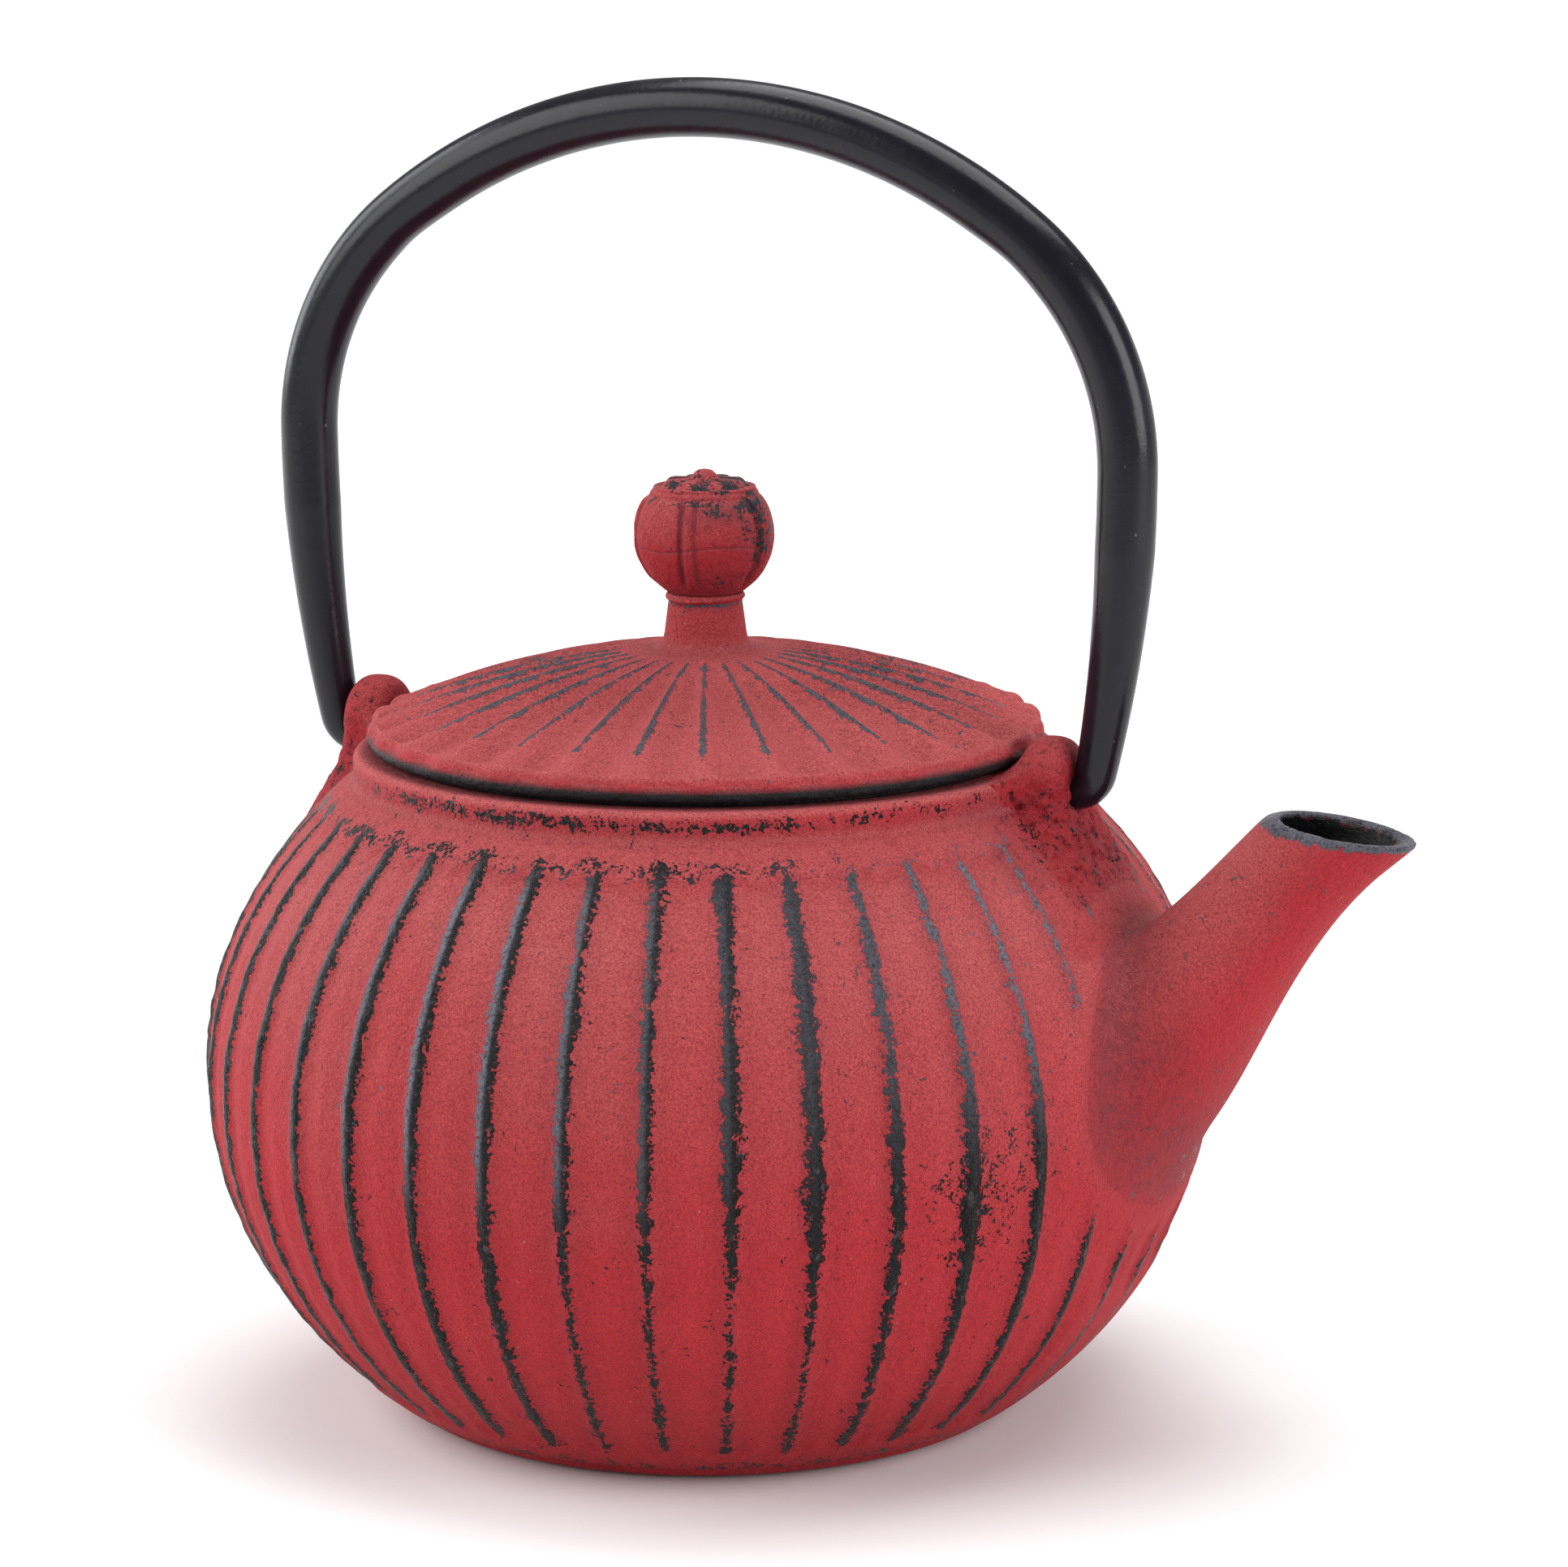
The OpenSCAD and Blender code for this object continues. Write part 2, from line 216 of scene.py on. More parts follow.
def surface_net(field, low, high, step, settle=3):
    """Grid and quads of the zero surface of a distance field inside a box, settled onto it."""
    axes = [np.arange(a, b + step, step) for a, b in zip(low, high)]
    grid = np.stack(np.meshgrid(*axes, indexing="ij"), -1)
    value = field(grid)
    inside = value < 0
    cells = [s - 1 for s in value.shape]
    total, count = np.zeros(cells + [3]), np.zeros(cells)
    for axis in range(3):  # one point per cell: the mean of where its edges cross the surface
        lo, hi = [slice(None)] * 3, [slice(None)] * 3
        lo[axis], hi[axis] = slice(0, -1), slice(1, None)
        a, b = value[tuple(lo)], value[tuple(hi)]
        cross = (a < 0) != (b < 0)
        t = np.where(cross, a / np.where(cross, a - b, 1), 0)
        spot = grid[tuple(lo)].copy()
        spot[..., axis] += t * step
        others = [x for x in range(3) if x != axis]
        for shift in np.ndindex(2, 2):
            s = [slice(None)] * 3
            for other, d in zip(others, shift):
                s[other] = slice(d, d + cells[other])
            s = tuple(s)
            total += np.where(cross[s][..., None], spot[s], 0)
            count += cross[s]
    active = count > 0
    index = np.full(cells, -1)
    index[active] = np.arange(active.sum())
    points = total[active] / count[active][:, None]
    faces = []
    for axis in range(3):  # one quad round every edge that crosses the surface
        u, v = [(1, 2), (2, 0), (0, 1)][axis]
        lo, hi = [slice(1, -1)] * 3, [slice(1, -1)] * 3
        lo[axis], hi[axis] = slice(0, -1), slice(1, None)
        a, b = inside[tuple(lo)], inside[tuple(hi)]
        where = np.argwhere(a != b)
        where[:, u] += 1
        where[:, v] += 1
        corners = []
        for du, dv in ((1, 1), (0, 1), (0, 0), (1, 0)):
            c = where.copy()
            c[:, u] -= du
            c[:, v] -= dv
            corners.append(index[c[:, 0], c[:, 1], c[:, 2]])
        quads = np.stack(corners, -1)
        faces.append(np.where(a[a != b][:, None], quads, quads[:, ::-1]))
    e = step * 0.05
    for _ in range(settle):
        f = field(points)
        slope = np.stack([(field(points + e * np.eye(3)[k]) - f) / e for k in range(3)], -1)
        move = -f[:, None] * slope / np.maximum((slope ** 2).sum(1), 0.2)[:, None]
        size = np.linalg.norm(move, axis=1)[:, None]
        points = points + move * np.minimum(1, 0.4 * step / np.maximum(size, 1e-9))
    return points, np.concatenate(faces).tolist()


# ---------------------------------------------------------------- distance fields of the casting
def belly_field(p):
    """Distance outside the smooth outer surface of the belly."""
    r, h = np.hypot(p[..., 0], p[..., 1]), p[..., 2] - BELLY_Z
    b = np.where(h < 0, BELLY_LOW, BELLY_HIGH)
    g = np.sqrt((r / BODY_R) ** 2 + (h / b) ** 2)
    slope = np.sqrt((r / BODY_R ** 2) ** 2 + (h / b ** 2) ** 2) / g
    return (g - 1) / slope


def spout_curve(s):
    """Point, unit direction and speed of the spout's centreline; straight on past its end."""
    c = np.clip(s, 0, 1)[:, None]
    p = SPOUT_PATH
    point = (1 - c) ** 3 * p[0] + 3 * (1 - c) ** 2 * c * p[1] + 3 * (1 - c) * c * c * p[2] + c ** 3 * p[3]
    way = (1 - c) ** 2 * (p[1] - p[0]) + 2 * (1 - c) * c * (p[2] - p[1]) + c * c * (p[3] - p[2])
    size = np.linalg.norm(way, axis=1)[:, None]
    return point + np.maximum(s - 1, 0)[:, None] * 3 * way, way / size, 3 * size[:, 0]


SPOUT_END = 1.25
SPOUT_S = np.linspace(0, SPOUT_END, 121)
SPOUT_POINTS = spout_curve(SPOUT_S)[0]


def spout_field(p, inset=0.0):
    """Distance outside the spout's skin, with inset taken off it all round."""
    flat, y = p[..., [0, 2]].reshape(-1, 2), p[..., 1].ravel()
    s = np.empty(len(flat))
    batch = 60000
    for a in range(0, len(flat), batch):
        gap = ((flat[a:a + batch, None, :] - SPOUT_POINTS[None]) ** 2).sum(2)
        s[a:a + batch] = SPOUT_S[gap.argmin(1)]
    for _ in range(2):
        c, way, speed = spout_curve(s)
        s = np.clip(s + ((flat - c) * way).sum(1) / speed, 0, SPOUT_END)
    c, way, _ = spout_curve(s)
    u = (flat[:, 1] - c[:, 1]) * way[:, 0] - (flat[:, 0] - c[:, 0]) * way[:, 1]
    left = np.maximum(1 - s, 0)
    rz = SPOUT_TIP_R - inset + SPOUT_FLARE_Z * left ** SPOUT_POWER_Z
    ry = SPOUT_TIP_R - inset + SPOUT_FLARE_Y * left ** SPOUT_POWER_Y
    g = np.maximum(np.sqrt((u / rz) ** 2 + (y / ry) ** 2), 1e-6)
    return np.maximum(np.hypot(u, y) * (1 - 1 / g), SPOUT_START_X - flat[:, 0]).reshape(p.shape[:-1])


LIP_NORMAL = np.array([math.sin(LIP_TILT), 0, math.cos(LIP_TILT)])


def spout_solid(p):
    """The spout with its fillet into the belly, its open channel and its round lip."""
    skin, belly = spout_field(p), belly_field(p)
    solid = smax(smin(skin, belly + SUNK, SPOUT_FILLET), (p - LIP_MID) @ LIP_NORMAL, 1.1)
    solid = smax(solid, -spout_field(p, SPOUT_WALL), 0.9)
    return np.maximum(np.maximum(solid, -(belly + WALL + 0.1)), skin - SPOUT_FILLET - 0.3)


def shoulder_field(p):
    """Distance outside the belly and the collar on top of it."""
    collar = np.maximum(np.hypot(p[..., 0], p[..., 1]) - COLLAR_R, p[..., 2] - SEAT_Z)
    return np.minimum(belly_field(p) + 0.4 * smooth(97, 100, p[..., 2]), collar)


def ear_field(x, y, z, lower=0.0):
    """Distance outside a lug that is flared at its foot; x is measured to its own side."""
    arch = LUG_W / 2 + 0.4
    crown = LUG_TOP - arch - lower
    top = np.hypot(y, z - crown) - arch
    leg = np.maximum(np.abs(y) - arch - 3.4 * smooth(103, 91, z), z - crown)
    foot = smooth(102, 92, z)
    flat = np.abs(x - LUG_X - 0.1 - 0.6 * foot) - LUG_T / 2 - 0.75 - 2.0 * foot
    return smax(np.minimum(top, leg) - 0.5, flat, 3.6)


def lug_solid(side):
    """Distance field of one lug with its rough foot, its hook hole and a skirt sunk into the shoulder."""
    def field(p):
        x, y, z = side * p[..., 0], p[..., 1], p[..., 2]
        rough = smooth(108, 100, z) * smooth(11.0, 6.5, np.abs(z - 97.0)) * LUG_ROUGH[side]
        ear = ear_field(x, y, z, LUG_LOWER[side])
        ear = ear + rough * ((noise(p, 1.9) - 0.5) * 0.8 + (noise(p, 0.95) - 0.5) * 0.6)
        body = shoulder_field(p)
        solid = smin(ear, body + 0.05, 4.5)
        rubble = (noise(p, 2.1) - 0.62) * 0.6 + (noise(p, 1.0) - 0.5) * 0.8
        solid = solid + rough * smooth(6, 2, ear) * rubble
        hole = np.hypot(y, z - HINGE_Z) - (HOOK_R + HOOK_FIT)
        hole = np.maximum(hole, (LUG_X - LUG_T / 2 - 1) - x)
        solid = smax(solid, -hole, 0.5)
        return np.maximum(np.maximum(solid, -(body + 2.2)), ear - 6)
    return field


# ---------------------------------------------------------------- materials
def put(tree, socket, value):
    """Link a socket to the node output given, or set it to the constant given."""
    if isinstance(value, bpy.types.NodeSocket):
        tree.links.new(value, socket)
    else:
        socket.default_value = value


def linked(tree, kind, inputs=(), **settings):
    """A node with its settings, and its inputs set or linked."""
    n = tree.nodes.new("ShaderNode" + kind)
    for k, v in settings.items():
        setattr(n, k, v)
    for k, v in dict(inputs).items():
        put(tree, n.inputs[k], v)
    return n


class Paint:
    """A material under construction: short names for the nodes used below."""

    def __init__(self, name):
        self.material = bpy.data.materials.new(name)
        self.material.use_nodes = True
        self.tree = self.material.node_tree
        self.shader = self.tree.nodes["Principled BSDF"]
        self.place = linked(self.tree, "TexCoord").outputs["Object"]

    def attribute(self, name):
        return linked(self.tree, "Attribute", attribute_name=name).outputs["Fac"]

    def noise(self, blob_mm, detail=2.0, rough=0.55, stretch=(1, 1, 1)):
        place = linked(self.tree, "Mapping", {"Vector": self.place, "Scale": stretch}).outputs[0]
        inputs = {"Vector": place, "Scale": 1 / (blob_mm * MM), "Detail": detail, "Roughness": rough}
        return linked(self.tree, "TexNoise", inputs).outputs["Fac"]

    def math(self, operation, a, b=0.5):
        return linked(self.tree, "Math", {0: a, 1: b}, operation=operation).outputs[0]

    def centred(self, noise, amount):
        """The noise about its middle of 0.5, times the amount."""
        return self.math("MULTIPLY", self.math("SUBTRACT", noise), amount)

    def between(self, value, low, high, to_low=0.0, to_high=1.0):
        inputs = {"Value": value, "From Min": low, "From Max": high, "To Min": to_low, "To Max": to_high}
        return linked(self.tree, "MapRange", inputs).outputs[0]

    def mix(self, share, a, b):
        return linked(self.tree, "Mix", {0: share, 6: a, 7: b}, data_type="RGBA").outputs[2]

    def up(self):
        normal = linked(self.tree, "TexCoord").outputs["Normal"]
        return linked(self.tree, "SeparateXYZ", {0: normal}).outputs["Z"]

    def bump(self, height, depth_mm, after=None):
        inputs = {"Height": height, "Distance": depth_mm * MM, "Strength": 1.0}
        if after is not None:
            inputs["Normal"] = after
        return linked(self.tree, "Bump", inputs).outputs[0]

    def finish(self, inputs):
        """Set or link the shader's own sockets."""
        for k, v in inputs.items():
            put(self.tree, self.shader.inputs[k], v)
        return self.material


# the third red is the lighter red of dust together with painted top light, for faces that look up
RED, RED_DEEP, RED_DUST_AND_TOP_LIGHT = (0.485, 0.026, 0.034, 1), (0.38, 0.012, 0.019, 1), (0.475, 0.098, 0.098, 1)
RED_ROUGH, RED_GRAIN, RED_PORE = (0.31, 0.009, 0.017, 1), (0.18, 0.014, 0.020, 1), (0.06, 0.012, 0.014, 1)
# the third colour is dirt together with painted shade, for creases, recesses and spots under other parts
PIT, PINK_FLECK, DIRT_AND_SHADE = (0.022, 0.006, 0.008, 1), (0.60, 0.30, 0.29, 1), (0.10, 0.022, 0.028, 1)
BLACK, BLACK_SHEEN = (0.0015, 0.0015, 0.0015, 1), (0.005, 0.005, 0.006, 1)
# a grey for the painted glints and the painted sheen on the bare black iron
SHEEN_GREY = (0.165, 0.155, 0.195, 1)
ENAMEL, SATIN, SATIN_LIT = (0.008, 0.008, 0.009, 1), (0.004, 0.0035, 0.0065, 1), (0.007, 0.006, 0.011, 1)
DUST, FLOOR_GREY, FLOOR_PALE = (0.30, 0.30, 0.32, 1), (0.86, 0.86, 0.86, 1), (0.90, 0.90, 0.90, 1)


def red_iron(name, deep=0.0, dust_and_light=0.0):
    """Red lacquer over black, worn through where the attribute wear is high; deep shifts its red darker, and
    the last argument is the least share of the dusty red with painted top light, which grows on faces that
    look up.
    """
    m = Paint(name)
    wear, soot, inside = m.attribute("wear"), m.attribute("soot"), m.attribute("inside")
    coarse, polish = m.attribute("coarse"), m.attribute("polish")
    fine, middle, patches = m.noise(0.6, 3.0, 0.6), m.noise(2.4, 3.0, 0.6), m.noise(17, 2.0)
    grain, rubble, cloud = m.noise(0.32, 2.0, 0.7), m.noise(1.3, 4.0, 0.75), m.noise(26, 3.0)
    # where the lacquer is gone
    spread = m.math("ADD", m.centred(fine, 1.45), m.centred(middle, 1.55))
    spread = m.math("ADD", spread, m.centred(patches, 0.35))
    worn = m.between(m.math("ADD", wear, spread), WORN_AT - 0.04, WORN_AT + 0.04)
    # the red: cloudy, lighter on faces that look up with dust and painted top light, grained, with dark
    # pores, pits and pink flecks, darker in creases and recesses with dirt and painted shade
    top = m.between(m.math("ADD", m.up(), m.centred(cloud, 0.9)), -0.22, 0.70, dust_and_light, 1.0)
    color = m.mix(m.between(cloud, 0.35, 0.7, deep, deep + 0.55), RED, RED_DEEP)
    color = m.mix(top, color, RED_DUST_AND_TOP_LIGHT)
    color = m.mix(m.between(grain, 0.34, 0.68, 0.0, 0.80), color, RED_GRAIN)
    color = m.mix(m.between(m.noise(0.9, 2.0, 0.8), 0.66, 0.78, 0.0, 0.85), color, RED_PORE)
    color = m.mix(m.math("MULTIPLY", coarse, 0.8), color, RED_ROUGH)
    color = m.mix(m.math("MULTIPLY", coarse, m.between(rubble, 0.46, 0.36)), color, PIT)
    color = m.mix(m.between(m.noise(0.5, 0.0), 0.84, 0.90, 0.0, 0.4), color, PINK_FLECK)
    color = m.mix(m.math("MULTIPLY", soot, m.between(middle, 0.3, 0.7, 0.55, 1.0)), color, DIRT_AND_SHADE)
    # the bare iron: black, with painted grey glints, and a painted grey sheen where the sheen attribute is
    # high
    black = m.mix(m.between(middle, 0.4, 0.62), BLACK, BLACK_SHEEN)
    painted_glints = m.between(m.noise(1.5, 3.0, 0.7), 0.57, 0.66, 0.0, 0.28)
    sheen_share = m.math("MAXIMUM", painted_glints, m.math("MULTIPLY", polish, m.between(fine, 0.28, 0.50)))
    color = m.mix(worn, color, m.mix(sheen_share, black, SHEEN_GREY))
    color = m.mix(inside, color, ENAMEL)
    rough = m.math("ADD", m.between(worn, 0, 1, 0.72, 0.27), m.centred(grain, 0.25))
    rough = m.math("MULTIPLY", rough, m.between(inside, 0, 1, 1.0, 0.62))
    normal = m.bump(grain, 0.18)
    normal = m.bump(m.noise(1.6, 4.0, 0.65), 0.70, normal)
    normal = m.bump(m.math("MULTIPLY", coarse, rubble), 0.9, normal)
    chips = m.math("MULTIPLY", worn, m.between(m.noise(0.9, 3.0, 0.7), 0.3, 0.7))
    normal = m.bump(chips, 0.42, normal)
    return m.finish({"Base Color": color, "Roughness": rough, "Normal": normal, "Specular IOR Level": 0.20})


def satin_black():
    """Powder-coated steel of the handle, with a faint orange-peel and a little dust."""
    m = Paint("satin_black")
    color = m.mix(m.noise(9, 2.0), SATIN, SATIN_LIT)
    color = m.mix(m.between(m.noise(0.8, 0.0), 0.86, 0.90, 0.0, 0.35), color, DUST)
    rough = m.between(m.noise(4, 2.0), 0.3, 0.7, 0.20, 0.27)
    normal = m.bump(m.noise(0.9, 2.0), 0.03)
    return m.finish({"Base Color": color, "Roughness": rough, "Normal": normal, "Specular IOR Level": 0.30})


def steel(name, low, high, rough, stretch):
    """Brushed steel between two greys, with its grain drawn out along one direction."""
    m = Paint(name)
    grain = m.noise(0.5, 3.0, 0.6, stretch)
    return m.finish({"Base Color": m.mix(grain, low, high), "Metallic": 1.0, "Normal": m.bump(grain, 0.01),
                     "Roughness": m.between(grain, 0.3, 0.7, rough - 0.06, rough + 0.08)})


# ---------------------------------------------------------------- body
def belly_outline(inset, from_z, to_z, gap):
    """Outline of the belly's skin, set in by inset, between two heights."""
    low, high = BELLY_LOW - inset, BELLY_HIGH - inset
    t0, t1 = math.asin((from_z - BELLY_Z) / low), math.asin((to_z - BELLY_Z) / high)
    t = np.linspace(t0, t1, int((t1 - t0) * BODY_R / gap))
    b = np.where(t < 0, low, high)
    return np.stack([(BODY_R - inset) * np.cos(t), BELLY_Z + b * np.sin(t)], 1)


def body_outline():
    """Outline of the turned shell, the rows that are its belly, and the first row of its inner side."""
    foot = rounded([(AXIS_R, 0), (FOOT_R, 0), (FOOT_R + 3.4, 0.9), (50.6, FOOT_TOP_Z)], [0, 1.2, 1.0, 0])
    foot = spaced(foot, 6)
    belly = belly_outline(0, FOOT_TOP_Z, COLLAR_BASE_Z, 1.0)
    mouth_z = LEDGE_Z - MOUTH_DEPTH
    collar = rounded([tuple(belly[-1]), (COLLAR_R, COLLAR_BASE_Z + 1.2), (COLLAR_R, SEAT_Z - 0.8),
                      (COLLAR_R - 0.8, SEAT_Z), (RECESS_R, SEAT_Z), (RECESS_R, LEDGE_Z), (MOUTH_R, LEDGE_Z),
                      (MOUTH_R, mouth_z)], [0, 1.0, 0.8, 0.6, 0.5, 0.5, 0.6, 0])
    collar = spaced(collar, 1.2)
    inner = belly_outline(WALL, FLOOR_T, mouth_z, 3.0)[::-1]
    floor = spaced(np.array([inner[-1], (AXIS_R, FLOOR_T)]), 8)
    outline = np.concatenate([foot, belly[1:], collar[1:], inner[1:], floor[1:]])
    belly_rows = slice(len(foot), len(foot) + len(belly) - 1)
    return outline, belly_rows, belly_rows.stop + len(collar) - 1


def rib_angles():
    """Angles of the body's columns, gathered on the ribs."""
    share = np.linspace(-1, 1, 21)[:-1]
    share = 0.5 * np.sign(share) * (0.45 * np.abs(share) + 0.55 * np.abs(share) ** 2.2)
    return ((np.arange(RIBS)[:, None] + share) * TURN / RIBS).ravel()


def root_dirt_and_shade(p):
    """Dirt and painted shade in the crease round the spout's root, mostly on the spout's side."""
    d = spout_field(p) - belly_field(p)
    side = smooth(5.5, 1.0, d) * smooth(-15, 1, d)
    return side * (0.26 + 0.34 * smooth(25, 60, p[..., 2])) * (0.6 + 0.7 * noise(p, 7))


def body_shell():
    """The turned belly and collar: fluted, rough cast, and open where the spout's channel passes."""
    outline, belly_rows, first_inner = body_outline()
    angles = rib_angles()
    r, z, theta = polar(outline, angles)
    p = turned(r, z, theta)
    outside = np.zeros(r.shape, bool)
    outside[belly_rows] = True

    # relief: flutes that end in arches and fade near the spout and the lugs, on a hand-cast skin
    across, u = from_ridge(theta, r, RIBS)
    share, u = 2 * np.abs(across), np.abs(u)
    spout_gap, ear_gap = spout_field(p), ear_field(np.abs(p[..., 0]), p[..., 1], p[..., 2])
    near = smooth(SPOUT_FILLET, SPOUT_FILLET + 4.5, spout_gap) * smooth(5.8, 9.0, ear_gap)
    arch = 1.6 * (1 - share ** 2)
    ends = smooth(FLUTE_TOP_Z - 2.6 + arch, FLUTE_TOP_Z - 4.6 + arch, z) \
        * smooth(FLUTE_LOW_Z - arch, FLUTE_LOW_Z + 2.2 - arch, z)
    bead = np.exp(-(u / RIB_HALF) ** 2.4)
    depth = (1 - bead) * (RIB_HEIGHT + FLUTE_SAG * (1 - share ** 2)) * (r / BODY_R)
    uneven = 1 + 0.25 * (noise(p, 9) - 0.5)
    fluted = np.where(outside, depth * ends * near * uneven, 0)
    ragged = 0.30 * noise(p, 2.1) + 0.16 * noise(p, 1.1)
    peel = 0.10 * (noise(p, 3.2) + noise(p, 1.7) - 1)
    wobble = np.where(outside, (bead * ends * ragged + peel) * near, 0)
    points = turned(r - fluted - wobble, z, theta)

    # wear: a stripe on each rib, wide on the left flank and narrow towards the spout, and lines at the edges
    along = smooth(FLUTE_TOP_Z + 0.4, FLUTE_TOP_Z - 2.5, z) * smooth(FLUTE_LOW_Z - 1.5, FLUTE_LOW_Z + 1, z)
    ahead = np.cos(theta)
    spout_side = ahead ** 2 * (ahead > 0) * smooth(math.cos(math.radians(62)), 1.0, ahead)
    toward_spout = facing(theta, SPOUT_SHOULDER, 0.45) * smooth(50, 82, z)
    bulk = noise(p * np.array([1, 1, 0.35]), 16)
    steep = 1 + 1.1 * facing(theta, LEFT, 0.75)
    stripe = (WORN_AT + (0.49 - u / (2.3 - 0.8 * spout_side)) * steep) * along
    stripe = stripe * smooth(SPOUT_FILLET, SPOUT_FILLET + 5, spout_gap)
    stripe = stripe - (0.16 * spout_side * smooth(60, 95, z) + 0.26 * toward_spout
                       + 0.40 * facing(theta, FRONT, 0.30) * smooth(56, 34, z)) * along
    stripe = stripe + along * 0.34 * (bulk - 0.50)
    rim = (0.50 - 0.30 * toward_spout) * hump(z, FLUTE_TOP_Z - 0.6 - 1.2 * share ** 2, 1.1)
    collar_line = 0.62 * hump(z, 102.9, 1.3) * (0.35 + 0.45 * bulk + 0.45 * facing(theta, FRONT_LEFT, 0.5))
    foot_line = 0.46 * hump(z, 2.6, 2.2)
    scatter = 0.30 * facing(theta, FRONT_RIGHT, 0.17) * hump(z, 52, 16)
    wear = np.maximum.reduce([stripe, rim * near, collar_line, foot_line, np.full(r.shape, 0.02)]) + scatter
    wear = np.where(outside | (z > 98), np.clip(wear, 0, 1.2), 0.0)

    # dirt and painted shade: darker in the spout's crease and along the ribs, painted shade on the seat under
    # the lid and beside the lugs, and a darker band round the collar; coarse skin high up
    creased = (root_dirt_and_shade(p) + 0.30 * np.exp(-(u / 2.5) ** 2) * along * near) * outside
    seat = 0.75 * smooth(COLLAR_R - 0.6, COLLAR_R - 2.2, r) * np.where(z > LEDGE_Z, 1, 0)
    soot = np.clip(creased + seat + 0.34 * smooth(2.6, 0.6, np.abs(z - 101.8)) * (0.4 + 0.6 * bulk)
                   * (r > COLLAR_R - 1) + 0.16 * smooth(20, 9, ear_gap) * (z > 90), 0, 1)
    # a painted grey sheen on the left flank of the ribs at the front left, and on the ribs towards the spout
    left_flank = smooth(0.035, -0.04, across) * facing(theta, FRONT_LEFT, 0.50)
    left_flank = left_flank * smooth(44, 60, z) * smooth(98, 92, z)
    polish = np.clip(left_flank + 0.9 * toward_spout, 0, 1) * outside
    coarse = 0.30 * smooth(86, 99, z) * outside + 0.35 * smooth(12, 6, ear_gap) * (z > 80) * outside
    row = np.arange(len(outline))[:, None]
    collar_inside, under = 12, 3  # rows inside the collar, and rows under the foot
    inside = (row >= first_inner - collar_inside) & (z < LEDGE_Z + 0.2) | (row < under)

    faces = tube_faces(len(outline), len(angles))
    wall = spout_field(points, SPOUT_WALL).ravel() < 1.0  # the spout's channel would cross the shell here
    faces = faces[~wall[faces].any(1)].tolist() + end_faces(len(outline), len(angles))
    return points, faces, {"wear": wear, "soot": soot, "inside": inside, "polish": polish, "coarse": coarse}


def spout_part():
    """The spout: black at its lip and in its channel, nearly clean red outside."""
    p, faces = surface_net(spout_solid, *SPOUT_BOX, SPOUT_STEP)
    skin, belly, channel = spout_field(p), belly_field(p), spout_field(p, SPOUT_WALL)
    below_lip = -((p - LIP_MID) @ LIP_NORMAL)
    lip_wear = 1.25 - below_lip / 1.5
    spots = 0.05 + 0.10 * smooth(70, 45, p[:, 2])
    return p, faces, {
        "wear": np.clip(np.maximum(lip_wear, spots * (skin < 3)), 0, 1.2),
        # dirt and painted shade in the crease at the root; a painted grey sheen on the bare black iron
        "soot": np.clip(root_dirt_and_shade(p), 0, 1),
        "polish": 0.6,
        "coarse": 0.35 * smooth(18, 2, belly),
        "inside": (channel < 0.45) & (below_lip > 0.7) | (belly < -WALL + 0.4)}


def lug_part(side):
    """One lug: pitted and dirty at its foot, with painted shade in the hole of the hook."""
    low_x, high_x = sorted((side * 49.0, side * 68.0))
    p, faces = surface_net(lug_solid(side), (low_x, -15, 86), (high_x, 15, 113), LUG_STEP)
    x, y, z = side * p[:, 0], p[:, 1], p[:, 2]
    low_part, pits = smooth(104, 98, z), noise(p, 1.5)
    hollow = np.hypot(y, z - HINGE_Z) < HOOK_R + 0.5
    return p, faces, {
        "wear": np.clip(0.06 + low_part * (0.12 + 0.5 * (0.5 - pits)), 0, 0.8),
        # dirt at the foot, and painted shade in the hole of the hook
        "soot": np.clip(0.10 * low_part + 0.7 * hollow + 0.3 * low_part * (0.5 - pits) * 2, 0, 1),
        "coarse": 0.35 + 0.30 * smooth(86, 99, z)
        + 0.35 * smooth(108, 101, z) * smooth(5.5, 1.0, ear_field(x, y, z))}


def build_body():
    parts = [body_shell(), spout_part(), lug_part(-1), lug_part(1)]
    piece("teapot_body", parts, red_iron("red_iron"), "pot", ["body"])


# ---------------------------------------------------------------- lid and knob
def dome_z(r):
    """Height of the lid's dome along its ridges."""
    return LID_EDGE_Z + (LID_TOP - LID_EDGE_Z) * (1 - (r / LID_DOME_R) ** 2)


